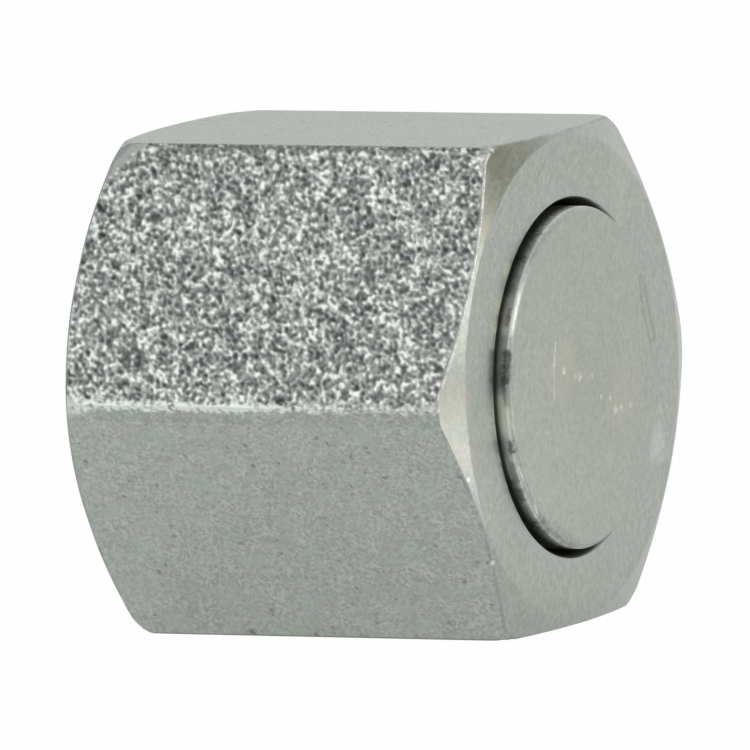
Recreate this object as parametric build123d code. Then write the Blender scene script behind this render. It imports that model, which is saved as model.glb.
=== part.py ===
from build123d import *
import os
from math import cos, radians, tan

# Closed swivel cap for a face-seal tube fitting, lying on one flat of its hexagon.
# All sizes are in millimetres. The thread axis is X and the closed end points to +X.
# The origin is the middle of the plug's sealing face, on the thread axis.

# Hexagon nut, outside
ACROSS_FLATS = 24.0
NUT_LENGTH = 21.4
EDGE_RADIUS = 0.3  # long edges of the hexagon bar

# Crown of each end: a flat face, a shallow cone, then a steeper cone that takes off the corners.
# Each cone's angle is measured from the end face.
CLOSED_FACE_RADIUS = 11.75
CLOSED_CONE_ANGLE = 20.0
CLOSED_BREAK_RADIUS = 13.5
CLOSED_BREAK_ANGLE = 65.0
OPEN_FACE_RADIUS = 12.0
OPEN_CONE_ANGLE = 25.0
OPEN_BREAK_RADIUS = 13.4
OPEN_BREAK_ANGLE = 60.0

# Thread 13/16-16 UN, 20.638 over its roots. The bore is plain, at the diameter of its crests.
THREAD_MINOR_DIAMETER = 18.92
MOUTH_DIAMETER = 21.2  # 45 degree countersink at the open end
RELIEF_DIAMETER = 20.9  # groove where the tap or tool runs out
RELIEF_WIDTH = 3.4
RELIEF_CORNER_RADIUS = 0.4

# Shoulder that holds the plug in, with the hole that the plug's shank comes out of
SHOULDER_THICKNESS = 5.0
HOLE_DIAMETER = 17.36
HOLE_INNER_CHAMFER = 0.6
HOLE_OUTER_CHAMFER = 0.1

# Sealing plug
FLANGE_DIAMETER = 18.6
FLANGE_THICKNESS = 4.2
FLANGE_CHAMFER = 0.4
FLANGE_BACK_CHAMFER = 0.2
SHANK_DIAMETER = 16.6
SHANK_STAND_OUT = 0.65  # beyond the nut's closed-end face
SHANK_CHAMFER = 0.2
SHANK_ROOT_RADIUS = 0.4
SEAT_CLEARANCE = 0.05  # between the flange's back and the nut's shoulder

# Places along X, worked out from the sealing face at X = 0
FLANGE_BACK = FLANGE_THICKNESS
SHOULDER_SEAT = FLANGE_BACK + SEAT_CLEARANCE
CLOSED_END = SHOULDER_SEAT + SHOULDER_THICKNESS
OPEN_END = CLOSED_END - NUT_LENGTH
PLUG_END = CLOSED_END + SHANK_STAND_OUT

CORNER_RADIUS = ACROSS_FLATS / 2 / cos(radians(30))


def turned(points, arcs=()):
    """Solid of revolution about X. points are (x, radius) from axis to axis, in order.

    arcs holds the places in points of the inside corners to round, each with its radius.
    """
    outline = Polyline([(x, radius) for x, radius in points], close=True)
    profile = make_face(outline)
    for index, radius in arcs:
        x, y = points[index]
        corner = profile.vertices().sort_by_distance((x, y, 0))[0]
        profile = fillet(corner, radius)
    return revolve(profile, Axis.X)


def crown(face_radius, cone_angle, break_radius, break_angle):
    """Depth behind the end face at which each cone of a crown ends, as (depth, radius)."""
    break_depth = (break_radius - face_radius) * tan(radians(cone_angle))
    corner_depth = break_depth + (CORNER_RADIUS - break_radius) * tan(radians(break_angle))
    return (0, face_radius), (break_depth, break_radius), (corner_depth, CORNER_RADIUS)


def hexagon_bar():
    """Hexagon bar along X, with flats at the top and bottom and softened long edges."""
    section = RegularPolygon(ACROSS_FLATS / 2, 6, major_radius=False)
    section = fillet(section.vertices(), EDGE_RADIUS)
    plane = Plane(origin=(OPEN_END, 0, 0), x_dir=(0, 1, 0), z_dir=(1, 0, 0))
    return extrude(plane * section, NUT_LENGTH)


def crowned_blank():
    """Turned shape that the hexagon bar is cut back to at both ends."""
    open_side = crown(OPEN_FACE_RADIUS, OPEN_CONE_ANGLE, OPEN_BREAK_RADIUS, OPEN_BREAK_ANGLE)
    closed_side = crown(
        CLOSED_FACE_RADIUS, CLOSED_CONE_ANGLE, CLOSED_BREAK_RADIUS, CLOSED_BREAK_ANGLE
    )
    points = [(OPEN_END, 0)]
    points += [(OPEN_END + depth, radius) for depth, radius in open_side]
    points += [(CLOSED_END - depth, radius) for depth, radius in reversed(closed_side)]
    points += [(CLOSED_END, 0)]
    return turned(points)


def nut_bore():
    """Everything that is cut out of the nut along its axis, from the open end to the closed one."""
    mouth = MOUTH_DIAMETER / 2
    thread = THREAD_MINOR_DIAMETER / 2
    relief = RELIEF_DIAMETER / 2
    hole = HOLE_DIAMETER / 2
    relief_start = SHOULDER_SEAT - RELIEF_WIDTH
    points = [
        (OPEN_END, 0),
        (OPEN_END, mouth),
        (OPEN_END + mouth - thread, thread),
        (relief_start - (relief - thread), thread),
        (relief_start, relief),
        (SHOULDER_SEAT, relief),
        (SHOULDER_SEAT, hole + HOLE_INNER_CHAMFER),
        (SHOULDER_SEAT + HOLE_INNER_CHAMFER, hole),
        (CLOSED_END - HOLE_OUTER_CHAMFER, hole),
        (CLOSED_END, hole + HOLE_OUTER_CHAMFER),
        (CLOSED_END, 0),
    ]
    return turned(points, arcs=[(5, RELIEF_CORNER_RADIUS)])


def hex_nut():
    return (hexagon_bar() & crowned_blank()) - nut_bore()


def sealing_plug():
    """Flange that seals on its flat face, and the shank that comes out through the nut."""
    flange = FLANGE_DIAMETER / 2
    shank = SHANK_DIAMETER / 2
    points = [
        (0, 0),
        (0, flange - FLANGE_CHAMFER),
        (FLANGE_CHAMFER, flange),
        (FLANGE_BACK - FLANGE_BACK_CHAMFER, flange),
        (FLANGE_BACK, flange - FLANGE_BACK_CHAMFER),
        (FLANGE_BACK, shank),
        (PLUG_END - SHANK_CHAMFER, shank),
        (PLUG_END, shank - SHANK_CHAMFER),
        (PLUG_END, 0),
    ]
    return turned(points, arcs=[(5, SHANK_ROOT_RADIUS)])


os.makedirs("parts", exist_ok=True)
export_step(hex_nut(), "parts/hex_nut.step")
export_step(sealing_plug(), "parts/sealing_plug.step")
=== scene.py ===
import math

import bmesh
import bpy
import numpy as np
from mathutils import Matrix, Vector, noise

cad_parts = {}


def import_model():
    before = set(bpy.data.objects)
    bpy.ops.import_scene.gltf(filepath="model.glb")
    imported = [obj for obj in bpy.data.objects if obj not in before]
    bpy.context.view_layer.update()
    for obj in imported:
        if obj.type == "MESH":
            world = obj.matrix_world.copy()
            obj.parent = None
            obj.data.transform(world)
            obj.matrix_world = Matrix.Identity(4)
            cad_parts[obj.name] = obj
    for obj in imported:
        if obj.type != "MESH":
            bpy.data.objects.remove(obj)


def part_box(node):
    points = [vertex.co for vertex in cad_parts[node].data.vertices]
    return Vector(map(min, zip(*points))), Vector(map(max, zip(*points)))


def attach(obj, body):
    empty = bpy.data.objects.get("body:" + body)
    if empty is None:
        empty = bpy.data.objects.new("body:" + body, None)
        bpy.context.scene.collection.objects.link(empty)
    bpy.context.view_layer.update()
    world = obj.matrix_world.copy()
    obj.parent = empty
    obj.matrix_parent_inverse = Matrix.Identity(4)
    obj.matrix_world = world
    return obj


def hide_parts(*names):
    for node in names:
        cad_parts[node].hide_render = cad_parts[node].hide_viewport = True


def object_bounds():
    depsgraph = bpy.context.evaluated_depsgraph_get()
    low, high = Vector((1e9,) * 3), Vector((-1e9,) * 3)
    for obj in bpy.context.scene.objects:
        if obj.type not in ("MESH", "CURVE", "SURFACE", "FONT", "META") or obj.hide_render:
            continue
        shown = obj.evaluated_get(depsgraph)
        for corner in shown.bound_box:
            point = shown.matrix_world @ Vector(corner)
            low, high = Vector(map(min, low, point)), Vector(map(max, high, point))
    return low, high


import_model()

# Zinc-plated closed swivel cap: a hexagon nut with a threaded bore, and a plug that seals on its
# flat inner face. The thread axis is X and the closed end points to +X. Sizes below are in
# millimetres. The ends, the width across flats and the flange come from the parts' boxes.

MM = 0.001
CAD_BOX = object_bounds()

nut_low, nut_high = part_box("hex_nut")
plug_low, plug_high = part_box("sealing_plug")
OPEN_END = nut_low.x / MM
CLOSED_END = nut_high.x / MM
APOTHEM = nut_high.z / MM  # half the width across flats
PLUG_END = plug_high.x / MM
FLANGE_RADIUS = plug_high.z / MM

# Nut, inside
HOLE_RADIUS = 8.68
HOLE_CHAMFER = 0.1
HOLE_INNER_CHAMFER = 0.6
THREAD_CREST = 9.46
THREAD_ROOT = 10.33
THREAD_PITCH = 1.5875
MOUTH_RADIUS = 10.6
RELIEF_RADIUS = 10.45
RELIEF_START = 0.85
RELIEF_CORNER = 0.4
SHOULDER_SEAT = 4.25

# Plug
SHANK_RADIUS = 8.3
SHANK_CHAMFER = 0.2
SHANK_ROOT = 0.4
FLANGE_BACK = 4.2
FLANGE_CHAMFER = 0.4
FLANGE_BACK_CHAMFER = 0.2
PLUG_EASE = 0.02  # softening of the plug's sharp edges

# Nut, outside. Angles about X are in degrees from +Y towards +Z.
EDGE_RADIUS = 0.3  # long edges of the hexagon
EDGE_CUT = EDGE_RADIUS * math.tan(math.radians(30))
HALF_SIDE = APOTHEM * math.tan(math.radians(30))
ROUGH_FLAT = 150  # direction of the rough flat's normal
UPPER_EDGE = 120  # the long edges above and below it, which are rough too
ROUGH_EDGE = 180

# Crowned ends: face radius, slope of the shallow cone, radius of the break, slope of the steep
# cone, softness of the break
CLOSED_CROWN = (11.75, math.tan(math.radians(20)), 13.5, math.tan(math.radians(65)), 0.06)
OPEN_CROWN = (12.0, math.tan(math.radians(25)), 13.4, math.tan(math.radians(60)), 0.1)
# Each end: x of its face, direction into the nut, crown, radius of its opening
ENDS = (
    (CLOSED_END, -1, CLOSED_CROWN, HOLE_RADIUS + HOLE_CHAMFER),
    (OPEN_END, 1, OPEN_CROWN, MOUTH_RADIUS),
)
FACE_BEND = 0.04  # softness of the bend between an end face and its shallow cone
RIM = 0.09  # softened edge between a crown and the sides
WEAR_GLINT_RIM = (155, 45, 8)  # part of the closed end's rim that is rubbed and given a painted highlight: middle, half width, fade, in degrees

# Mesh of the nut's outside: rows of each face, crown, rim and side, and columns
FACE_ROWS = 8
CROWN_ROWS = 16
RIM_ROWS = 4
CAP_ROWS = FACE_ROWS + CROWN_ROWS + RIM_ROWS  # all the rows of one end
SIDE_ROWS = 100
END_ZONE = 1.5  # length of side at each end that gets closer rows, over the broken corners
FLAT_COLUMNS = 40  # across one flat
EDGE_COLUMNS = 5  # round one long edge
STRIP_COLUMNS = 2  # columns past the rough edge that belong to the relief

# Mesh of the rough side: rows, and points round and across its parts
ROUGH_ROWS = 375
ROUGH_UPPER_POINTS = 11
ROUGH_FLAT_POINTS = 230
ROUGH_LOWER_POINTS = 8
ROUGH_STRIP_POINTS = 13

# Grains of the rough side: half sizes along and across their slant, height, and depth of the bed
GRAIN_LONG = 0.082
GRAIN_SHORT = 0.054
GRAIN_HEIGHT = 0.016
SWELL_SIZE = 0.30
SWELL_HEIGHT = 0.016
BED_DEPTH = 0.085
DEEPEST = 0.30
LATTICE_STEP = 0.04  # spacing of the points that the random fields are made on
LATTICE_MARGIN = 4  # points past each border
# Seeds of the grains, their slow swell and the part of their tone that isn't height
GRAIN_SEED, SWELL_SEED, TONE_SEED = 11, 12, 13

# Tone of the grains as display brightness: middle, change for one unit of the tone, its bend
SHADE_MIDDLE = 0.672
SHADE_SLOPE = 0.156
SHADE_BEND = 0.014
SHADE_RANGE = (0.15, 0.98)
DISPLAY_POWER = 2.2  # from display brightness to the share of light that is reflected

# Pits: x, distance past the start of the rough long edge, width, depth
PITS = ((8.02, 0.22, 0.17, 0.16), (-6.2, 0.85, 0.12, 0.05), (3.1, 0.5, 0.12, 0.05))
# Burnished nick at its upper corner, given a painted highlight: x, distance past the top flat, half
# width and half length
CORNER_NICK_GLINT = (8.40, 0.55, 0.13, 0.34)
# Smooth patch at its open corner: lengths along X and across the flat, depth, reflectance
SMOOTH_PATCH = (1.3, 1.9)
PATCH_DEPTH = 0.06
PATCH_SHADE = 0.45
# Groove under its upper edge, darkened with painted shade: distance from the top flat and half
# width, then the x at which it starts and ends, each with the length of its fade
GROOVE = (0.20, 0.19)
GROOVE_START = (-9.5, 2.0)
GROOVE_END = (6.0, 2.5)
# Painted highlight along its rubbed lower edge: half width, what the open end adds to it, and
# the x and length over which it does
WEAR_GLINT_LINE = (0.26, 0.30)
WEAR_GLINT_LINE_END = (-9.6, 2.0)


# ------------------------------------------------------------------ meshes

def grid_object(name, points, closed=False, keep=None):
    """Object with quads between rows x columns of points in millimetres.

    closed joins the last column to the first. keep is a mask of the quads that are made.
    """
    rows, columns = points.shape[:2]
    index = np.arange(rows * columns).reshape(rows, columns)
    if closed:
        index = np.hstack([index, index[:, :1]])
    quads = np.stack([index[:-1, :-1], index[:-1, 1:], index[1:, 1:], index[1:, :-1]], axis=-1)
    quads = quads.reshape(-1, 4) if keep is None else quads[keep]
    mesh = bpy.data.meshes.new(name)
    mesh.from_pydata((points.reshape(-1, 3) * MM).tolist(), [], quads.tolist())
    mesh.polygons.foreach_set("use_smooth", [True] * len(mesh.polygons))
    mesh.update()
    obj = bpy.data.objects.new(name, mesh)
    bpy.context.scene.collection.objects.link(obj)
    return obj


def tidy_mesh(obj):
    """Joins points that coincide and drops the ones that no face uses."""
    work = bmesh.new()
    work.from_mesh(obj.data)
    bmesh.ops.remove_doubles(work, verts=work.verts, dist=1e-7)
    loose = [v for v in work.verts if not v.link_faces]
    bmesh.ops.delete(work, geom=loose, context="VERTS")
    work.to_mesh(obj.data)
    work.free()


def point_value(obj, name, values):
    """Stores one number for each point of a mesh, for its material to read."""
    made = obj.data.attributes.new(name, "FLOAT", "POINT")
    made.data.foreach_set("value", np.ascontiguousarray(values, dtype=np.float32).ravel())


def turned_object(name, profile, segments):
    """Surface of revolution about X through a profile of (x, radius)."""
    angle = np.linspace(0, 2 * math.pi, segments, endpoint=False)
    x, radius = np.array(profile).T
    points = np.stack([
        np.repeat(x[:, None], segments, axis=1),
        radius[:, None] * np.cos(angle),
        radius[:, None] * np.sin(angle),
    ], axis=-1)
    obj = grid_object(name, points, closed=True)
    tidy_mesh(obj)
    return obj


def bent(start, corner, end, count):
    """Points of a soft corner from start to end, with both ends left out."""
    t = np.linspace(0, 1, count + 2)[1:-1]
    start, corner, end = (np.asarray(p)[..., None] for p in (start, corner, end))
    return (1 - t) ** 2 * start + 2 * t * (1 - t) * corner + t ** 2 * end


def between(start, end, count, last=False):
    """Even steps from each start to its end, which is left out unless last is set."""
    return start[:, None] + (end - start)[:, None] * np.linspace(0, 1, count, endpoint=last)


def ramp(value, length):
    """Rises from 0 to 1 while the value goes from 0 to a length."""
    return np.clip(value / length, 0, 1)


def bell(value, width):
    """1 where the value is 0, and little past a width on either side."""
    return np.exp(-(value / width) ** 2)


# ------------------------------------------------------------------ nut, outside

def soft_least(first, second, softness):
    """The smaller of two values, with a smooth turn from one to the other."""
    return (first + second - np.sqrt((first - second) ** 2 + softness ** 2)) / 2


def crown_depth(radius, crown):
    """Depth of a crown's shallow cone behind its end face, with a softened bend at the face."""
    face_radius, slope = crown[:2]
    over = radius - face_radius
    return slope * (over + np.sqrt(over ** 2 + FACE_BEND ** 2)) / 2


def side_border(radius, crown):
    """(radius, depth behind the end face) at which the sides meet a crown."""
    break_radius, softness = crown[2], crown[4]
    border = soft_least(radius, break_radius, softness)
    return border, crown_depth(border, crown)


def side_radius(x, radius):
    """Distance from the axis of the sides at x: each column's own, less at a broken corner."""
    for face_x, inward, crown, _ in ENDS:
        face_radius, slope, break_radius, break_slope, softness = crown
        break_depth = slope * (break_radius - face_radius)
        cone = break_radius + ((x - face_x) * inward - break_depth) / break_slope
        radius = soft_least(radius, cone, softness)
    return radius


def side_rows():
    """Shares from 0 to 1 along the sides, closer together near both ends."""
    near = END_ZONE / (CLOSED_END - OPEN_END)
    end_rows = SIDE_ROWS // 5
    end = np.linspace(0, near, end_rows, endpoint=False)
    middle = np.linspace(near, 1 - near, SIDE_ROWS - 2 * end_rows)
    return np.concatenate([end, middle, 1 - end[::-1]])


def flat_section(normal_degrees, count):
    """(y, z, normal angle) of points across one flat, in order about X."""
    across = np.linspace(-1, 1, count) * (HALF_SIDE - EDGE_CUT)
    a = math.radians(normal_degrees)
    y = APOTHEM * math.cos(a) - across * math.sin(a)
    z = APOTHEM * math.sin(a) + across * math.cos(a)
    return np.stack([y, z, np.full(count, a)])


def edge_section(corner_degrees, count):
    """(y, z, normal angle) of points round one long edge, between those of its two flats."""
    a = math.radians(corner_degrees)
    centre = (APOTHEM - EDGE_RADIUS) / math.cos(math.radians(30))
    turn = a + np.radians(np.linspace(-30, 30, count + 2))[1:-1]
    y = centre * math.cos(a) + EDGE_RADIUS * np.cos(turn)
    z = centre * math.sin(a) + EDGE_RADIUS * np.sin(turn)
    return np.stack([y, z, turn])


def column_rows(radius):
    """(x, radius) down the nut's outside, from the back hole to the thread's mouth.

    radius holds the distance from the axis of each column's side. The results are columns x
    rows, with CAP_ROWS rows for each end and SIDE_ROWS between them.
    """
    x_rows, r_rows, side_limits = [], [], []
    for face_x, inward, crown, opening in ENDS:
        border, depth = side_border(radius, crown)
        face_edge = np.minimum(crown[0] - 0.1, border - RIM - 0.05)
        face_r = between(np.full_like(radius, opening), face_edge, FACE_ROWS)
        crown_r = between(face_edge, border - RIM, CROWN_ROWS, last=True)
        face_depth = crown_depth(face_r, crown)
        face_depth[:, :1] = 0
        cone_x = face_x + inward * np.hstack([face_depth, crown_depth(crown_r, crown)])
        limit = face_x + inward * (depth + RIM)
        rim_x = bent(cone_x[:, -1], face_x + inward * depth, limit, RIM_ROWS)
        rim_r = bent(border - RIM, border, side_radius(limit, radius), RIM_ROWS)
        x_rows.append(np.hstack([cone_x, rim_x]))
        r_rows.append(np.hstack([face_r, crown_r, rim_r]))
        side_limits.append(limit)
    start, end = side_limits
    x_side = start[:, None] + (end - start)[:, None] * side_rows()
    r_side = side_radius(x_side, radius[:, None])
    x = np.hstack([x_rows[0], x_side, x_rows[1][:, ::-1]])
    r = np.hstack([r_rows[0], r_side, r_rows[1][:, ::-1]])
    return x, r


def nut_skin():
    """The nut's end faces, crowns, long edges and smooth flats."""
    sections, rough = [], []
    for normal in range(30, 390, 60):
        strip = STRIP_COLUMNS + 1 if normal == ROUGH_FLAT + 60 else 0
        sections.append(flat_section(normal, FLAT_COLUMNS))
        rough += [normal == ROUGH_FLAT or i < strip for i in range(FLAT_COLUMNS)]
        sections.append(edge_section(normal + 30, EDGE_COLUMNS))
        rough += [normal + 30 in (UPPER_EDGE, ROUGH_EDGE)] * EDGE_COLUMNS
    y, z, turn = np.hstack(sections)
    radius = np.hypot(y, z)
    x, r = column_rows(radius)
    scale = r / radius[:, None]
    points = np.stack([x, y[:, None] * scale, z[:, None] * scale], axis=-1).transpose(1, 0, 2)
    side_start, side_end = CAP_ROWS, CAP_ROWS + SIDE_ROWS

    # The rough side is a piece of its own, so its quads are left out here
    keep = np.ones((points.shape[0] - 1, points.shape[1]), bool)
    rough = np.array(rough)
    keep[side_start:side_end - 1, rough & np.roll(rough, -1)] = False
    # The second material, on all but the sides and the outer part of their rims
    turned = np.ones(keep.shape, int)
    turned[side_start - RIM_ROWS + 1:side_end + RIM_ROWS - 2] = 0
    rim = np.zeros(points.shape[:2])
    rim[side_start - RIM_ROWS:side_start + 1] = 1
    rim[side_end - 1:side_end + RIM_ROWS] = 1
    # The rubbed arc of the closed end's rim gets a painted highlight; the rest of each rim is
    # darker in places
    middle, half, fade = WEAR_GLINT_RIM
    wear_glint = ramp(half - np.abs(np.degrees(turn) % 360 - middle), fade)
    wear_glint = wear_glint * (np.arange(points.shape[0]) < side_start + 2)[:, None]

    obj = grid_object("nut_skin", points, closed=True, keep=keep)
    point_value(obj, "rim_wear_glint", rim * wear_glint)
    point_value(obj, "rim_dark", rim * (1 - wear_glint))
    obj.data.polygons.foreach_set("material_index", turned[keep])
    tidy_mesh(obj)
    return obj


# ------------------------------------------------------------------ nut, rough side

def soft_field(x, across, long, short, seed):
    """Smooth random field of mean 0 and spread 1, of blobs with these half sizes.

    The blobs are longest towards +x and +across. It is made on a square lattice of points
    and read off at the places asked for.
    """
    low = np.array([x.min(), across.min()]) - LATTICE_MARGIN * LATTICE_STEP
    size = np.array([np.ptp(x), np.ptp(across)]) / LATTICE_STEP + 2 * LATTICE_MARGIN + 2
    rows, columns = size.astype(int)
    white = np.random.default_rng(seed).normal(0, 1, (rows, columns))
    u = np.fft.fftfreq(rows, LATTICE_STEP)[:, None] * 2 * math.pi
    v = np.fft.fftfreq(columns, LATTICE_STEP)[None, :] * 2 * math.pi
    along, cross = (u + v) / math.sqrt(2), (v - u) / math.sqrt(2)
    keep = np.exp(-((along * long) ** 2 + (cross * short) ** 2) / 2)
    field = np.fft.ifft2(np.fft.fft2(white) * keep).real
    field = (field - field.mean()) / field.std()
    at_row, at_column = (x - low[0]) / LATTICE_STEP, (across - low[1]) / LATTICE_STEP
    i, j = at_row.astype(int), at_column.astype(int)
    a, b = at_row - i, at_column - j
    near = field[i, j] * (1 - b) + field[i, j + 1] * b
    far = field[i + 1, j] * (1 - b) + field[i + 1, j + 1] * b
    return near * (1 - a) + far * a


def wander(x, across, scale, seed):
    """Smooth noise between about -0.5 and 0.5 with features of one over scale millimetres."""
    flat = np.stack([x.ravel() * scale, across.ravel() * scale], axis=-1)
    made = [noise.noise(Vector((a, b, seed))) for a, b in flat]
    return np.array(made).reshape(x.shape)


class RoughSide:
    """The rough flat, the long edges above and below it and a strip past the lower one.

    Arrays are rows along X by columns about it. across is the distance along the surface from
    the end of the top flat, and to_edge the distance left to the lower edge. ragged makes the
    border of each mark uneven. unworn is 0 on the lower edge, grained is 0 on the smooth patch
    and risen is 0 at the top flat, and each is 1 where the grains are whole.
    """

    def __init__(self):
        upper = edge_section(UPPER_EDGE, ROUGH_UPPER_POINTS)[:, 1:]
        flat = flat_section(ROUGH_FLAT, ROUGH_FLAT_POINTS)
        lower = edge_section(ROUGH_EDGE, ROUGH_LOWER_POINTS)
        below = flat_section(ROUGH_FLAT + 60, FLAT_COLUMNS)[:, :STRIP_COLUMNS + 1]
        share = np.linspace(0, 1, ROUGH_STRIP_POINTS)
        strip = below[:, :1] + (below[:, -1:] - below[:, :1]) * share
        self.y, self.z, self.turn = np.hstack([upper, flat, lower, strip])
        radius = np.hypot(self.y, self.z)
        self.top = CLOSED_END - side_border(radius, CLOSED_CROWN)[1] - RIM
        self.bottom = OPEN_END + side_border(radius, OPEN_CROWN)[1] + RIM
        self.x = self.top + (self.bottom - self.top) * np.linspace(0, 1, ROUGH_ROWS)[:, None]
        self.scale = side_radius(self.x, radius) / radius
        step = np.hypot(np.diff(self.y, prepend=self.y[0]), np.diff(self.z, prepend=self.z[0]))
        self.across = np.cumsum(step)[None, :] + 0 * self.x
        edge_start = self.across[0, upper.shape[1] + flat.shape[1] - 1]
        self.to_edge = edge_start - self.across
        self.to_last = self.across[0, -1] - self.across
        self.random_fields()

    def random_fields(self):
        """The grains and their tone, and the borders that ragged makes uneven."""
        x, across = self.x, self.across
        self.grain = soft_field(x, across, GRAIN_LONG, GRAIN_SHORT, GRAIN_SEED)
        self.swell = soft_field(x, across, SWELL_SIZE, SWELL_SIZE, SWELL_SEED)
        other = soft_field(x, across, GRAIN_LONG, GRAIN_SHORT, TONE_SEED)
        self.tone = 0.70 * self.grain + 0.70 * other + 0.15 * self.swell
        self.ragged = wander(x, across, scale=4.0, seed=7.0)
        self.ragged += 0.6 * wander(x, across, scale=11.0, seed=9.0)
        self.unworn = ramp(self.to_edge + 0.02 + 0.30 * self.ragged, 0.36)
        corner = (x - self.bottom) / SMOOTH_PATCH[0] + across / SMOOTH_PATCH[1] - 1
        self.grained = ramp(corner + 0.35 * self.ragged, 0.3)
        self.risen = ramp(across - 0.02 + 0.10 * self.ragged, 0.16)

    def groove(self):
        """The groove under the upper edge, which is also darkened with painted shade."""
        middle, width = GROOVE
        made = bell(self.across - middle + 0.12 * self.ragged, width)
        made = made * np.clip(0.85 + 0.8 * self.ragged, 0.4, 1)
        made = made * ramp(self.x - GROOVE_START[0], GROOVE_START[1])
        return made * ramp(GROOVE_END[0] - self.x, GROOVE_END[1])

    def depth(self, groove):
        """How far the surface lies below the plain side."""
        depth = BED_DEPTH - GRAIN_HEIGHT * self.grain - SWELL_HEIGHT * self.swell
        # Worn long edge: the relief flattens and falls away in a soft, uneven roll
        depth = depth * (0.2 + 0.8 * self.unworn) + 0.02 * (1 - self.unworn)
        # The strip below it runs out smoothly into the next flat
        depth = depth * ramp(self.to_last, 0.5) ** 1.5
        depth = depth * self.grained + PATCH_DEPTH * (1 - self.grained)
        depth = depth * self.risen
        depth = depth * (1 - 0.6 * groove) + 0.05 * groove
        for pit_x, past_edge, width, deep in PITS:
            away = (self.x - pit_x) ** 2 + (self.to_edge + past_edge) ** 2
            depth += deep * np.exp(-away / width ** 2)
        depth = np.clip(depth, 0.0, DEEPEST)
        # The four borders stay level with the rest of the nut
        border = np.minimum.reduce([
            (self.top - self.x - 0.02 + 0.05 * self.ragged) / 0.06,
            (self.x - self.bottom) / 0.06,
            self.across / 0.03,
            self.to_last / 0.05,
        ])
        return depth * np.clip(border, 0, 1)

    def lip_glint(self):
        """Painted highlight along the border at the closed crown, and on the nick at its upper
        corner.
        """
        line = 1 - ramp(self.top - self.x - 0.05 + 0.22 * self.ragged, 0.12)
        line = line * np.clip(0.85 + 0.9 * self.ragged, 0.3, 1)
        x, across, width, length = CORNER_NICK_GLINT
        nick = bell(self.x - x, width) * bell(self.across - across, length)
        return np.maximum(line, np.clip(1.6 * nick, 0, 1)) * ramp(self.to_edge + 0.15, 0.2)

    def wear_glint_line(self):
        """Painted highlight along the rubbed lower edge, fainter towards the closed end."""
        width = WEAR_GLINT_LINE[0] + WEAR_GLINT_LINE[1] * ramp(WEAR_GLINT_LINE_END[0] - self.x, WEAR_GLINT_LINE_END[1])
        line = bell(self.to_edge + 0.06 + 0.22 * self.ragged, width)
        line = line * np.clip(1.15 + 0.55 * self.tone, 0, 2)
        return np.clip(line * np.clip(1.1 - (self.x + 3.0) / 14.0, 0.55, 1), 0, 1)

    def shade(self):
        """Share of light that the grains reflect: lighter where the tone is high."""
        tone = self.tone * self.unworn
        display = SHADE_MIDDLE + SHADE_SLOPE * tone + SHADE_BEND * tone ** 2
        shade = np.clip(display, *SHADE_RANGE) ** DISPLAY_POWER
        return shade * self.grained + PATCH_SHADE * (1 - self.grained)

    def covered(self):
        """Where the surface has the colour of the grains and not that of the smooth flats."""
        past = 1 - ramp(-self.to_edge - 0.25 + 0.3 * self.ragged, 0.25)
        return past * ramp(self.risen - 0.05, 0.15)

    def build(self):
        groove = self.groove()
        depth = self.depth(groove)
        points = np.stack([
            self.x,
            self.y * self.scale - depth * np.cos(self.turn),
            self.z * self.scale - depth * np.sin(self.turn),
        ], axis=-1)
        obj = grid_object("nut_rough_flat", points)
        point_value(obj, "depth", depth)
        point_value(obj, "shade", self.shade())
        point_value(obj, "darkening", groove)
        point_value(obj, "lip_glint", self.lip_glint())
        point_value(obj, "wear_glint", self.wear_glint_line())
        point_value(obj, "rough", self.covered())
        return obj


# ------------------------------------------------------------------ nut, inside

def thread_radius(phase):
    """Radius of the internal 60 degree thread at a phase of 0 to 1 along one pitch."""
    crest, root = 0.25, 0.125
    flank = (1 - crest - root) / 2
    stops = [0, crest / 2, crest / 2 + flank, crest / 2 + flank + root, 1 - crest / 2, 1]
    radii = [THREAD_CREST, THREAD_CREST, THREAD_ROOT, THREAD_ROOT, THREAD_CREST, THREAD_CREST]
    return np.interp(phase % 1, stops, radii)


def nut_thread():
    """The threaded bore from the countersunk mouth to the run-out groove, as a true helix."""
    segments = 160
    per_pitch = 12
    angle = np.linspace(0, 2 * math.pi, segments + 1)
    pitches = int((RELIEF_START - OPEN_END) / THREAD_PITCH) + 3
    phase = np.arange(-per_pitch, pitches * per_pitch) / per_pitch
    x = OPEN_END + THREAD_PITCH * (phase[:, None] + angle[None, :] / (2 * math.pi))
    x = np.clip(x, OPEN_END, RELIEF_START)
    radius = thread_radius(np.repeat(phase[:, None], segments + 1, axis=1))
    countersink = MOUTH_RADIUS - (x - OPEN_END)
    run_out = RELIEF_RADIUS - (RELIEF_START - x)
    radius = np.maximum(np.maximum(radius, countersink), run_out)
    points = np.stack([x, radius * np.cos(angle), radius * np.sin(angle)], axis=-1)
    obj = grid_object("nut_thread", points[:, ::-1])
    tidy_mesh(obj)
    return obj


def nut_shoulder():
    """Run-out groove, shoulder and the wall of the back hole."""
    corner_start = (SHOULDER_SEAT - RELIEF_CORNER, RELIEF_RADIUS)
    corner_end = (SHOULDER_SEAT, RELIEF_RADIUS - RELIEF_CORNER)
    corner = bent(corner_start, (SHOULDER_SEAT, RELIEF_RADIUS), corner_end, 5)
    profile = [
        (RELIEF_START, RELIEF_RADIUS),
        corner_start,
        *(tuple(p) for p in corner.T),
        corner_end,
        (SHOULDER_SEAT, HOLE_RADIUS + HOLE_INNER_CHAMFER),
        (SHOULDER_SEAT + HOLE_INNER_CHAMFER, HOLE_RADIUS),
        (CLOSED_END - HOLE_CHAMFER, HOLE_RADIUS),
        (CLOSED_END, HOLE_RADIUS + HOLE_CHAMFER),
    ]
    return turned_object("nut_shoulder", profile, 240)


# ------------------------------------------------------------------ plug

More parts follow.
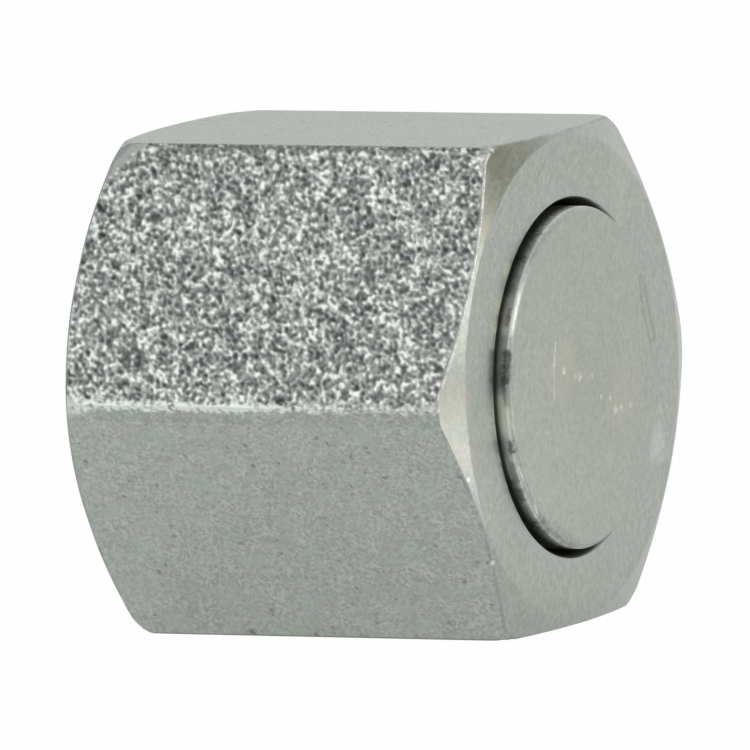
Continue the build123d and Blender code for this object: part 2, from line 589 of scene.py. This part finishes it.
def plug_body():
    """Flange with its flat sealing face, shank, and the turned end that shows in the nut."""
    ease = PLUG_EASE
    root_start = (FLANGE_BACK, SHANK_RADIUS + SHANK_ROOT)
    root_end = (FLANGE_BACK + SHANK_ROOT, SHANK_RADIUS)
    root = bent(root_start, (FLANGE_BACK, SHANK_RADIUS), root_end, 5)
    face_edge = SHANK_RADIUS - SHANK_CHAMFER
    profile = [
        # Sealing face and the flange's front edge
        (0, 0.001), (0, 4.0), (0, 8.2),
        (0, FLANGE_RADIUS - FLANGE_CHAMFER - 2 * ease),
        (ease / 2, FLANGE_RADIUS - FLANGE_CHAMFER),
        (FLANGE_CHAMFER - ease, FLANGE_RADIUS - ease),
        (FLANGE_CHAMFER + ease, FLANGE_RADIUS),
        # Its back edge and the face that rests on the nut's shoulder
        (FLANGE_BACK - FLANGE_BACK_CHAMFER - ease, FLANGE_RADIUS),
        (FLANGE_BACK - FLANGE_BACK_CHAMFER, FLANGE_RADIUS - ease / 2),
        (FLANGE_BACK, FLANGE_RADIUS - FLANGE_BACK_CHAMFER),
        (FLANGE_BACK, FLANGE_RADIUS - FLANGE_BACK_CHAMFER - 0.05),
        root_start,
        *(tuple(p) for p in root.T),
        root_end,
        # Shank and its chamfered end
        (PLUG_END - 3 * SHANK_CHAMFER, SHANK_RADIUS),
        (PLUG_END - SHANK_CHAMFER - 0.03, SHANK_RADIUS),
        (PLUG_END - SHANK_CHAMFER, SHANK_RADIUS - ease / 2),
        (PLUG_END - ease, face_edge + ease / 2),
        (PLUG_END, face_edge - ease),
        # A fine turned line near the edge of the end face
        (PLUG_END, face_edge - 0.07), (PLUG_END - 0.008, face_edge - 0.12),
        (PLUG_END, face_edge - 0.17),
        (PLUG_END, face_edge - 0.3), (PLUG_END, 6), (PLUG_END, 4), (PLUG_END, 2), (PLUG_END, 0.001),
    ]
    return turned_object("plug_body", profile, 256)


# ------------------------------------------------------------------ colours and marks

LIGHT = (0.60, 0.64, 0.60)
DARK = (0.355, 0.395, 0.35)
PALE = (0.60, 0.64, 0.60)
DULL = (0.44, 0.475, 0.435)
ROSE = (0.535, 0.53, 0.50)
GREEN = (0.47, 0.54, 0.475)
# Dark grey of dirt, pits and thin dark lines, also used for painted shade
GRIME_AND_SHADE = (0.20, 0.21, 0.18)
TURNED_LIGHT = (0.50, 0.535, 0.485)
TURNED_DARK = (0.40, 0.435, 0.39)
ROUGH_TINT = (0.95, 1.0, 0.955)
# Dark tint of the deepest hollows: duller plate and painted shade
VALLEY = (0.10, 0.115, 0.105)
# Bright tints of painted highlights on rubbed edges and nicks
BURNISH_HIGHLIGHT = (0.91, 0.97, 0.92)
GLINT = (0.86, 0.84, 0.80)
BORE_LIGHT = (0.46, 0.48, 0.45)
BORE_DARK = (0.37, 0.39, 0.36)
PLUG_LIGHT = (0.515, 0.54, 0.485)
PLUG_DARK = (0.395, 0.42, 0.37)
CREAM = (0.74, 0.71, 0.54)
SAND = (0.60, 0.57, 0.46)
OLIVE = (0.30, 0.29, 0.20)
SHINE = (0.82, 0.84, 0.79)
MOSS = (0.92, 0.97, 0.80)
BEIGE = (0.57, 0.525, 0.47)
PEACH = (0.62, 0.50, 0.41)
# Painted shade of the gap between the plug and the nut
WALL_SHADE = (0.10, 0.11, 0.10)
BLACK = (0.0, 0.0, 0.0)

# Patches: place, radius in millimetres, strength, colour. The first is a smudge on the lower flat
FLAT_PATCHES = (
    ((-5.1, -7.1, -11.8), 0.2, 0.85, GRIME_AND_SHADE),
)
# Stains, dull areas and light areas of the closed end's face and crown
TURNED_PATCHES = (
    # An olive stain, also darkened further as painted shade on the upper left of the crown
    ((8.82, -6.4, 11.2), 0.85, 0.30, OLIVE),
    ((9.15, -8.5, 8.5), 0.55, 0.35, SAND),
    ((9.25, -6.75, 5.95), 0.35, 0.55, CREAM),
    ((8.85, -12.9, 0.6), 1.5, 0.42, BEIGE),
    ((8.80, -13.0, 1.5), 1.0, 0.08, GRIME_AND_SHADE),
    ((8.95, -12.5, -1.2), 2.4, 0.05, GRIME_AND_SHADE),
    ((8.95, -12.3, -2.4), 1.3, 0.42, BEIGE),
    ((8.98, -7.95, 9.25), 0.42, 0.28, PEACH),
    ((9.02, -8.6, 8.1), 0.40, 0.24, PEACH),
    ((9.25, 8.7, -4.0), 1.3, 0.14, SHINE),
    ((9.25, 9.1, -4.4), 0.8, 0.20, SHINE),
    ((9.25, 6.0, 9.3), 1.6, 0.20, SAND),
    ((9.25, -9.6, -1.5), 2.0, 0.07, GRIME_AND_SHADE),
    ((9.25, -7.6, -7.0), 1.9, 0.08, GRIME_AND_SHADE),
)
# Painted highlights at small nicks on the border of the closed crown
RIM_NICK_GLINTS = (
    ((9.13, -11.57, -3.51), 0.11, 0.9, GLINT),
    ((9.10, -9.28, -7.88), 0.12, 0.9, GLINT),
    ((8.62, -6.48, 11.86), 0.15, 0.9, GLINT),
)
# Stains of the plug's end face, then its small bright dots
PLUG_PATCHES = (
    ((9.9, -2.4, 0.6), 1.5, 0.30, SAND),
    ((9.9, 3.9, -1.7), 1.3, 0.25, SAND),
    ((9.9, 0.5, -0.5), 2.6, 0.08, OLIVE),
    ((9.9, -2.28, 0.58), 0.17, 0.75, SHINE),
    ((9.9, -0.55, 0.08), 0.20, 0.50, SHINE),
    ((9.9, -1.05, 0.18), 0.12, 0.40, SHINE),
    ((9.9, 0.78, 0.01), 0.12, 0.35, SHINE),
    ((9.9, 2.66, -1.35), 0.14, 0.45, SHINE),
    ((9.9, 1.67, -1.18), 0.12, 0.35, SHINE),
    ((9.9, 3.17, -1.95), 0.20, 0.60, SHINE),
    ((9.9, 3.84, -1.94), 0.15, 0.50, SHINE),
    ((9.9, 4.84, -1.97), 0.14, 0.45, SHINE),
)

# Straight marks: start, end, half width in millimetres, strength, colour
TURNED_STREAKS = (
    ((9.25, -7.7, 4.9), (9.25, -8.75, 2.2), 0.45, 0.40, CREAM),
    ((9.25, -0.4, 11.5), (9.25, -2.0, 10.8), 0.16, 0.16, GRIME_AND_SHADE),
    ((9.25, -2.0, 10.8), (9.25, -3.4, 9.8), 0.16, 0.18, GRIME_AND_SHADE),
)
PLUG_STREAKS = (
    # Handling scratches
    ((9.9, -3.05, 2.2), (9.9, -3.35, 0.9), 0.10, 0.6, SHINE),
    ((9.9, -3.33, 1.1), (9.9, -3.48, -0.7), 0.13, 0.32, SHINE),
    # Outline of the leaf-shaped mark
    ((9.9, 6.55, 4.3), (9.9, 6.50, 2.8), 0.20, 0.24, GRIME_AND_SHADE),
    ((9.9, 6.52, 3.0), (9.9, 7.35, 0.7), 0.20, 0.26, GRIME_AND_SHADE),
    ((9.9, 6.75, 4.3), (9.9, 7.85, 0.8), 0.22, 0.30, GRIME_AND_SHADE),
    ((9.9, 7.20, 0.8), (9.9, 7.90, 0.8), 0.14, 0.24, GRIME_AND_SHADE),
    # Dark line inside the edge of the face, and painted highlights on the edge
    ((9.9, -7.93, -1.9), (9.9, -7.23, -3.7), 0.05, 0.50, GRIME_AND_SHADE),
    ((9.9, -7.23, -3.7), (9.9, -5.98, -5.6), 0.06, 0.60, GRIME_AND_SHADE),
    ((9.9, -5.98, -5.6), (9.9, -3.25, -7.5), 0.05, 0.50, GRIME_AND_SHADE),
    ((9.82, -7.55, -3.35), (9.82, -5.6, -6.0), 0.08, 0.75, SHINE),
    ((9.80, -6.5, 5.1), (9.80, -7.75, 2.9), 0.10, 0.60, SHINE),
    # Painted shade of the gap on the wall below the edge
    ((9.50, -7.1, 4.3), (9.55, -7.6, 3.3), 0.14, 0.60, WALL_SHADE),
    ((9.72, -8.05, -2.0), (9.68, -7.85, -2.8), 0.20, 0.75, WALL_SHADE),
)
# Painted shade of the gap on the plug's wall, and a bright greenish painted highlight among them
WALL_STREAKS = (
    ((9.08, 0.4, 8.3), (9.08, -4.1, 7.2), 0.74, 0.80, WALL_SHADE),
    ((9.14, -3.2, 7.65), (9.14, -5.7, 6.0), 0.70, 0.80, WALL_SHADE),
    ((9.20, -4.9, 6.7), (9.20, -6.9, 4.6), 0.52, 0.68, WALL_SHADE),
    ((9.35, -7.6, 3.3), (9.35, -8.3, 0.2), 0.60, 0.45, WALL_SHADE),
    ((9.45, -8.1, 1.6), (9.45, -8.3, -0.8), 0.60, 0.28, WALL_SHADE),
    ((9.66, -7.9, 2.5), (9.66, -8.27, 0.5), 0.32, 0.90, WALL_SHADE),
    ((9.62, -8.2, 1.2), (9.62, -8.3, -0.5), 0.24, 0.60, WALL_SHADE),
    # Bright greenish painted highlight
    ((9.30, -8.3, 0.4), (9.24, -7.98, -2.3), 0.50, 0.75, MOSS),
    ((9.45, -8.1, -1.6), (9.45, -7.7, -3.2), 0.60, 0.30, WALL_SHADE),
    ((9.55, -7.75, -3.0), (9.50, -7.1, -4.3), 0.24, 0.50, WALL_SHADE),
    ((9.50, -7.0, -4.4), (9.42, -6.4, -5.3), 0.28, 0.60, WALL_SHADE),
    ((9.28, -7.4, -3.8), (9.28, -5.0, -6.6), 0.52, 0.65, WALL_SHADE),
    ((9.28, -5.6, -6.1), (9.28, -1.2, -8.2), 0.72, 0.92, WALL_SHADE),
)

DRAWN_MOTTLE = (4.5, 5.0, 0.8)  # noise of the drawn surface: scale, detail, roughness
GROUND_SHADE = (-11.86, -11.97)  # z at which the painted shade near the floor starts and is whole
# On the plug: radii between which its wall's look fades in, and the x at which the painted
# shade of the gap starts and is whole
WALL_START = (SHANK_RADIUS - 0.12, SHANK_RADIUS - 0.02)
GAP_SHADE = (9.30, 9.12)


# ------------------------------------------------------------------ materials

class Nodes:
    """Short calls that add nodes to a tree and join them."""

    def __init__(self, tree):
        self.tree = tree

    def feed(self, socket, value):
        """Links an output to a socket, or sets the socket to a plain value."""
        if isinstance(value, bpy.types.NodeSocket):
            self.tree.links.new(value, socket)
        else:
            socket.default_value = value

    def node(self, kind, inputs=None, **settings):
        """New node with these settings. inputs says what feeds each socket."""
        made = self.tree.nodes.new("ShaderNode" + kind)
        for name, value in settings.items():
            setattr(made, name, value)
        for key, value in (inputs or {}).items():
            self.feed(made.inputs[key], value)
        return made

    def vector(self, operation, first, second=(0.0, 0.0, 0.0)):
        made = self.node("VectorMath", {0: first, 1: second}, operation=operation)
        number = operation in ("DISTANCE", "LENGTH", "DOT_PRODUCT")
        return made.outputs["Value" if number else "Vector"]

    def math(self, operation, first, second=0.0):
        return self.node("Math", {0: first, 1: second}, operation=operation).outputs[0]

    def fit(self, value, low, high, to_low=0.0, to_high=1.0):
        """Smooth step from to_low at low to to_high at high, level on either side."""
        inputs = {"Value": value, "From Min": low, "From Max": high}
        inputs.update({"To Min": to_low, "To Max": to_high})
        made = self.node("MapRange", inputs, interpolation_type="SMOOTHSTEP")
        return made.outputs["Result"]

    def mix(self, factor, first, second):
        """Colour that turns from the first to the second as the factor rises to 1."""
        first, second = ((*c, 1) if isinstance(c, tuple) else c for c in (first, second))
        return self.node("Mix", {0: factor, 6: first, 7: second}, data_type="RGBA").outputs[2]


class Finish(Nodes):
    """A metal material under construction. Its places and lengths are in millimetres."""

    def __init__(self, name):
        self.material = bpy.data.materials.new(name)
        self.material.use_nodes = True
        super().__init__(self.material.node_tree)
        self.shader = self.tree.nodes["Principled BSDF"]
        self.shader.inputs["Metallic"].default_value = 1.0
        place = self.node("TexCoord").outputs["Object"]
        self.place = self.vector("MULTIPLY", place, (1 / MM, 1 / MM, 1 / MM))

    def field(self, name):
        """A number stored with the mesh's points."""
        return self.node("Attribute", attribute_name=name).outputs["Fac"]

    def from_axis(self):
        return self.vector("LENGTH", self.vector("MULTIPLY", self.place, (0.0, 1.0, 1.0)))

    def noise(self, scale, detail=3.0, roughness=0.6, at=None, stretch=None):
        """Noise with features of one over scale millimetres, longer where stretch is small."""
        at = at or self.place
        if stretch:
            at = self.vector("MULTIPLY", at, stretch)
        inputs = {"Vector": at, "Scale": scale, "Detail": detail, "Roughness": roughness}
        return self.node("TexNoise", inputs).outputs["Fac"]

    def specks(self, scale, size, share):
        """Small round marks, one at most in each cell of one over scale millimetres."""
        wobble = self.node("TexNoise", {"Vector": self.place, "Scale": 3.0}).outputs["Color"]
        at = self.vector("ADD", self.place, self.vector("MULTIPLY", wobble, (0.35, 0.35, 0.35)))
        cells = self.node("TexVoronoi", {"Vector": at, "Scale": scale})
        drawn = self.node("SeparateColor", {0: cells.outputs["Color"]}).outputs[0]
        chosen = self.fit(drawn, 1 - share, 1 - share * 0.4)
        near = self.fit(cells.outputs["Distance"], size * scale, size * scale * 0.3)
        return self.math("MULTIPLY", chosen, near)

    def spot(self, centre, radius):
        """One soft, ragged patch round a place on the surface."""
        away = self.vector("DISTANCE", self.place, centre)
        ragged = self.fit(self.noise(1.2 / radius, 4.0), 0.25, 0.75, -0.5 * radius, 0.5 * radius)
        return self.fit(self.math("ADD", away, ragged), 1.5 * radius, 0.5 * radius)

    def scratch(self, start, end, width, uneven):
        """A straight mark between two places on the surface, with sides more or less uneven."""
        start, end = Vector(start), Vector(end)
        half = (end - start).length / 2
        way = (end - start).normalized()
        off = self.vector("SUBTRACT", self.place, (start + end) / 2)
        along = self.vector("DOT_PRODUCT", off, way)
        foot = self.node("VectorMath", {0: way, "Scale": along}, operation="SCALE")
        away = self.vector("LENGTH", self.vector("SUBTRACT", off, foot.outputs["Vector"]))
        ragged = self.fit(self.noise(4.0, 3.0), 0.3, 0.7, -uneven * width, uneven * width)
        near = self.fit(self.math("ADD", away, ragged), width * 1.1, width * 0.2)
        reach = self.math("ADD", self.math("ABSOLUTE", along), ragged)
        return self.math("MULTIPLY", near, self.fit(reach, half, half - width))

    def turning(self, pitch, waver=0.15):
        """Fine concentric marks of a lathe tool about the axis."""
        rings = self.node("CombineXYZ", {0: self.math("DIVIDE", self.from_axis(), pitch)})
        around = self.vector("MULTIPLY", self.place, (0.0, waver, waver))
        return self.noise(1.0, 2.0, 0.6, at=self.vector("ADD", rings.outputs[0], around))

    def cover(self, colour, tint, mask, strength):
        """Lays a tint over a colour where the mask is 1, as far as the strength says."""
        return self.mix(self.math("MULTIPLY", mask, strength), colour, tint)

    def patches(self, colour, marks):
        for centre, radius, strength, tint in marks:
            colour = self.cover(colour, tint, self.spot(centre, radius), strength)
        return colour

    def streaks(self, colour, marks, uneven=0.4):
        for start, end, width, strength, tint in marks:
            mark = self.scratch(start, end, width, uneven)
            colour = self.cover(colour, tint, mark, strength)
        return colour

    def rim(self, colour):
        """The line where a crown meets the sides: a painted highlight where it is rubbed and at
        small nicks, darker in places elsewhere.
        """
        darkening = self.fit(self.noise(0.7, 3.0, 0.6), 0.62, 0.42, 0.0, 0.35)
        colour = self.cover(colour, GRIME_AND_SHADE, self.field("rim_dark"), darkening)
        colour = self.patches(colour, RIM_NICK_GLINTS)
        ragged = self.fit(self.noise(2.4, 4.0, 0.7), 0.40, 0.60, 0.15, 0.95)
        return self.cover(colour, GLINT, self.field("rim_wear_glint"), ragged)

    def drawn_colour(self, mottle):
        """Colour of the bar's drawn surface: mottle, lengthwise marks and weak tinted patches."""
        cloud = self.noise(0.9, 5.0, 0.65)
        tint = self.noise(0.55, 3.0, 0.5, at=self.vector("ADD", self.place, (31.0, 7.0, 3.0)))
        marks = self.noise(1.0, 4.0, 0.6, stretch=(0.14, 5.5, 5.5))
        colour = self.mix(self.fit(mottle, 0.40, 0.60), DARK, LIGHT)
        colour = self.mix(self.fit(marks, 0.35, 0.65, 0.0, 0.16), colour, PALE)
        colour = self.mix(self.fit(cloud, 0.42, 0.62, 0.0, 0.45), colour, DULL)
        colour = self.mix(self.fit(tint, 0.50, 0.68, 0.0, 0.35), colour, ROSE)
        return self.mix(self.fit(tint, 0.50, 0.32, 0.0, 0.35), colour, GREEN)

    def finish(self, colour, roughness, bumps):
        """Sets the colour and gloss, and stacks (height, distance in millimetres) as bumps."""
        self.feed(self.shader.inputs["Base Color"], colour)
        self.feed(self.shader.inputs["Roughness"], roughness)
        inputs = {}
        for height, distance in bumps:
            inputs.update({"Height": height, "Distance": distance * MM})
            inputs["Normal"] = self.node("Bump", inputs).outputs["Normal"]
        self.feed(self.shader.inputs["Normal"], inputs["Normal"])
        return self.material


def drawn_zinc():
    """Smooth bar flats: fine mottle, faint lengthwise drawing marks and small dark pits."""
    f = Finish("zinc_drawn")
    mottle = f.noise(*DRAWN_MOTTLE)
    pits = f.specks(2.0, 0.17, 0.22)
    colour = f.cover(f.drawn_colour(mottle), GRIME_AND_SHADE, pits, 0.6)
    colour = f.patches(colour, FLAT_PATCHES)
    # Painted shade along the lowest edge, darker towards the floor
    height = f.vector("DOT_PRODUCT", f.place, (0.0, 0.0, 1.0))
    colour = f.mix(f.fit(height, *GROUND_SHADE, 0.0, 0.65), colour, GRIME_AND_SHADE)
    wear_glint = f.math("MULTIPLY", f.field("rim_wear_glint"), 0.15)
    roughness = f.math("ADD", f.fit(mottle, 0.38, 0.62, 0.36, 0.48), wear_glint)
    sunk = f.math("MULTIPLY", pits, -1.0)
    return f.finish(f.rim(colour), roughness, [(mottle, 0.012), (sunk, 0.02)])


def turned_zinc():
    """End faces and crowns: concentric turning marks, thin stains and soft patches."""
    f = Finish("zinc_turned")
    mottle = f.noise(3.4, 4.0, 0.65)
    cloud = f.noise(0.8, 3.0, 0.6)
    rings = f.turning(0.13)
    colour = f.mix(f.fit(mottle, 0.30, 0.70), TURNED_DARK, TURNED_LIGHT)
    colour = f.mix(f.fit(rings, 0.36, 0.64, 0.0, 0.08), colour, PALE)
    colour = f.mix(f.fit(cloud, 0.42, 0.66, 0.0, 0.35), colour, DULL)
    colour = f.streaks(f.patches(colour, TURNED_PATCHES), TURNED_STREAKS)
    roughness = f.fit(rings, 0.36, 0.64, 0.24, 0.27)
    return f.finish(f.rim(colour), roughness, [(mottle, 0.002), (rings, 0.0006)])


def rough_zinc():
    """Coarse grains: bright tops, dull valleys with painted shade, a groove with painted shade and
    painted highlights on the edges.
    """
    f = Finish("zinc_rough")
    shade = f.field("shade")
    grains = f.mix(shade, BLACK, ROUGH_TINT)
    # Darker in the deepest hollows: duller plate there, and painted shade
    grains = f.mix(f.fit(f.field("depth"), 0.11, 0.20, 0.0, 0.4), grains, VALLEY)
    colour = f.mix(f.field("rough"), f.drawn_colour(f.noise(*DRAWN_MOTTLE)), grains)
    # Painted shade in the groove, then painted highlights along the rubbed lower edge and the
    # border at the closed crown
    colour = f.cover(colour, GRIME_AND_SHADE, f.field("darkening"), 0.95)
    colour = f.cover(colour, BURNISH_HIGHLIGHT, f.field("wear_glint"), 0.95)
    colour = f.cover(colour, GLINT, f.field("lip_glint"), 0.8)
    roughness = f.fit(shade, 0.0, 0.9, 0.59, 0.51)
    return f.finish(colour, roughness, [(f.noise(9.0, 3.0, 0.6), 0.002)])


def bore_zinc():
    """Cut thread and the inside of the nut: thinner, duller plate with marks round the axis."""
    f = Finish("zinc_bore")
    mottle = f.noise(1.5, 4.0, 0.65)
    marks = f.noise(1.0, 3.0, 0.6, stretch=(7.0, 0.4, 0.4))
    colour = f.mix(f.fit(mottle, 0.38, 0.62), BORE_DARK, BORE_LIGHT)
    colour = f.cover(colour, GRIME_AND_SHADE, f.specks(2.0, 0.12, 0.12), 0.5)
    roughness = f.fit(marks, 0.38, 0.62, 0.28, 0.44)
    return f.finish(colour, roughness, [(marks, 0.004), (mottle, 0.006)])


def plug_zinc():
    """Turned plug: faint rings, thin stains, scratches, bright dots, and a wall with a painted
    sheen and painted shade.
    """
    f = Finish("zinc_plug")
    mottle = f.noise(3.6, 4.0, 0.65)
    cloud = f.noise(0.7, 3.0, 0.6)
    rings = f.turning(0.2, 0.3)
    colour = f.mix(f.fit(mottle, 0.30, 0.70), PLUG_DARK, PLUG_LIGHT)
    colour = f.mix(f.fit(rings, 0.36, 0.64, 0.0, 0.12), colour, PALE)
    colour = f.mix(f.fit(cloud, 0.42, 0.66, 0.0, 0.4), colour, DULL)
    wall = f.fit(f.from_axis(), *WALL_START)
    # The wall is lightened with a painted sheen
    colour = f.cover(colour, SHINE, wall, 0.7)
    colour = f.streaks(f.patches(colour, PLUG_PATCHES), PLUG_STREAKS)
    colour = f.streaks(colour, WALL_STREAKS, uneven=0.15)
    along = f.vector("DOT_PRODUCT", f.place, (1.0, 0.0, 0.0))
    # Painted shade where the wall goes into the hole
    colour = f.cover(colour, WALL_SHADE, f.fit(along, *GAP_SHADE, 0.0, 0.80), wall)
    roughness = f.fit(mottle, 0.36, 0.64, 0.28, 0.38)
    roughness = f.math("ADD", roughness, f.math("MULTIPLY", wall, 0.15))
    return f.finish(colour, roughness, [(mottle, 0.003), (rings, 0.001)])


# ------------------------------------------------------------------ the object

skin = nut_skin()
rough = RoughSide().build()
thread = nut_thread()
shoulder = nut_shoulder()
plug = plug_body()

skin.data.materials.append(drawn_zinc())
skin.data.materials.append(turned_zinc())
rough.data.materials.append(rough_zinc())
bore = bore_zinc()
for piece in (thread, shoulder):
    piece.data.materials.append(bore)
for piece in (skin, rough, thread, shoulder):
    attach(piece, "nut")
    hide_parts("hex_nut")
plug.data.materials.append(plug_zinc())
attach(plug, "plug")
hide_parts("sealing_plug")


# ------------------------------------------------------------------ floor, light and camera

FLOOR_SIZE = 4.0
FLOOR_GAP = 0.00002  # between the floor and the object
FLOOR_WHITE = 0.9  # share of light that the floor reflects
FLOOR_ROUGHNESS = 0.9
FLOOR_SHOWS = 0.98  # how much of the floor's white the camera sees straight, without the shadow
FLOOR_GLOSS = 0.52  # and the same for its reflection in metal
# White card that lies on the floor past the closed end and shows only in reflections:
# middle, half length and softness in metres, extra radiance
FLOOR_CARD = ((0.066, 0.010), 0.028, 0.016, 1.3)

# Surroundings: radiance on the camera's side and behind the object, and the share of +Y in a
# direction at which each is whole
FRONT_LEVEL = 0.22
BACK_LEVEL = 0.84
LEVEL_FADE = (-0.45, 0.55)
# Studio cards and a dark gap: direction, half width and softness in degrees, radiance
CARDS = (
    ((0.89, 0.44, -0.02), 11, 9, (1.86, 1.83, 1.75)),
    ((0.665, 0.694, 0.27), 6, 10, (0.40, 0.38, 0.32)),
    ((0.81, -0.19, 0.52), 10, 12, (1.9, 1.9, 1.9)),
    ((-0.42, -0.66, 0.62), 10, 14, (1.9, 1.9, 1.9)),
    ((0.43, -0.78, 0.42), 12, 10, (1.2, 1.2, 1.2)),
    ((0.89, -0.42, -0.12), 8, 8, (2.3, 2.3, 2.2)),
)

# Key light: azimuth and elevation in degrees, distance and size in metres, power in watts
KEY_DIRECTION = (-30, 58)
KEY_DISTANCE = 0.5
KEY_SIZE = 0.22
KEY_POWER = 0.16

# Camera: angles in degrees, lens and sensor in millimetres, the rest in metres
CAMERA_DIRECTION = (26.58, 6.80)
CAMERA_ROLL = -2.41
CAMERA_DISTANCE = 60 * 2 * APOTHEM * MM
CAMERA_LENS = 1423.5
CAMERA_SENSOR = 36
CAMERA_CLIP = (0.1, 20)
AIM_RIGHT = 0.0001 * 2 * APOTHEM * MM
AIM_UP = -0.0025 * 2 * APOTHEM * MM


def floor():
    """Pale floor that keeps the object's shadow; a card on it shows only in reflections."""
    place = (0, 0, CAD_BOX[0].z - FLOOR_GAP)
    bpy.ops.mesh.primitive_plane_add(size=FLOOR_SIZE, location=place)
    plane = bpy.context.object
    plane.name = "floor"
    material = bpy.data.materials.new("floor_white")
    material.use_nodes = True
    n = Nodes(material.node_tree)
    shader = n.tree.nodes["Principled BSDF"]
    shader.inputs["Base Color"].default_value = (FLOOR_WHITE, FLOOR_WHITE, FLOOR_WHITE, 1)
    shader.inputs["Roughness"].default_value = FLOOR_ROUGHNESS
    middle, half, soft, extra = FLOOR_CARD
    away = n.vector("DISTANCE", n.node("TexCoord").outputs["Object"], (*middle, 0))
    card = n.fit(away, half, half + soft, FLOOR_WHITE + extra, FLOOR_WHITE)
    rays = n.node("LightPath").outputs
    shown = shader.outputs[0]
    for ray, share, level in (
        ("Is Glossy Ray", FLOOR_GLOSS, card),
        ("Is Camera Ray", FLOOR_SHOWS, (1, 1, 1, 1)),
    ):
        glow = n.node("Emission", {"Color": level}).outputs[0]
        factor = n.math("MULTIPLY", rays[ray], share)
        shown = n.node("MixShader", {0: factor, 1: shown, 2: glow}).outputs[0]
    n.feed(n.tree.nodes["Material Output"].inputs["Surface"], shown)
    plane.data.materials.append(material)


def world():
    """Studio surroundings: bright behind, darker on the camera's side, with a few cards."""
    made = bpy.data.worlds.new("studio")
    bpy.context.scene.world = made
    made.use_nodes = True
    n = Nodes(made.node_tree)
    way = n.node("TexCoord").outputs["Generated"]
    behind = n.node("SeparateXYZ", {0: way}).outputs["Y"]
    light = n.mix(n.fit(behind, *LEVEL_FADE), (FRONT_LEVEL,) * 3, (BACK_LEVEL,) * 3)
    for middle, half, soft, radiance in CARDS:
        near = n.vector("DOT_PRODUCT", way, Vector(middle).normalized())
        inner, outer = math.cos(math.radians(half)), math.cos(math.radians(half + soft))
        light = n.mix(n.fit(near, outer, inner), light, radiance)
    back = n.tree.nodes["Background"]
    n.feed(back.inputs["Color"], light)
    # The camera itself sees plain white
    white = n.node("Background", {"Color": (1, 1, 1, 1)}).outputs[0]
    seen = n.node("LightPath").outputs["Is Camera Ray"]
    shown = n.node("MixShader", {0: seen, 1: back.outputs[0], 2: white}).outputs[0]
    n.feed(n.tree.nodes["World Output"].inputs["Surface"], shown)


def direction(azimuth, elevation):
    """Unit vector away from the object. Azimuth 0 is in front (-Y), 90 at +X, in degrees."""
    a, e = math.radians(azimuth), math.radians(elevation)
    return Vector((math.sin(a) * math.cos(e), -math.cos(a) * math.cos(e), math.sin(e)))


def key_light():
    """Square soft light that looks at the object."""
    data = bpy.data.lights.new("key", "AREA")
    data.shape = "SQUARE"
    data.size = KEY_SIZE
    data.energy = KEY_POWER
    lamp = bpy.data.objects.new("key", data)
    way = direction(*KEY_DIRECTION)
    lamp.location = way * KEY_DISTANCE
    lamp.rotation_mode = "QUATERNION"
    lamp.rotation_quaternion = way.to_track_quat("Z", "Y")
    bpy.context.scene.collection.objects.link(lamp)


def camera():
    """Long lens, almost without perspective, turned a little about its own axis."""
    data = bpy.data.cameras.new("camera")
    data.lens = CAMERA_LENS
    data.sensor_width = CAMERA_SENSOR
    data.clip_start, data.clip_end = CAMERA_CLIP
    made = bpy.data.objects.new("camera", data)
    bpy.context.scene.collection.objects.link(made)
    back = direction(*CAMERA_DIRECTION)
    level = Vector((0, 0, 1)).cross(back).normalized()
    upright = back.cross(level)
    roll = math.radians(CAMERA_ROLL)
    right = level * math.cos(roll) + upright * math.sin(roll)
    up = upright * math.cos(roll) - level * math.sin(roll)
    centre = Vector(((OPEN_END + CLOSED_END) / 2 * MM, 0, 0))
    made.location = centre + right * AIM_RIGHT + up * AIM_UP + back * CAMERA_DISTANCE
    made.rotation_mode = "QUATERNION"
    made.rotation_quaternion = Matrix((right, up, back)).transposed().to_quaternion()
    bpy.context.scene.camera = made


floor()
world()
key_light()
camera()
bpy.context.scene.view_settings.view_transform = "Standard"
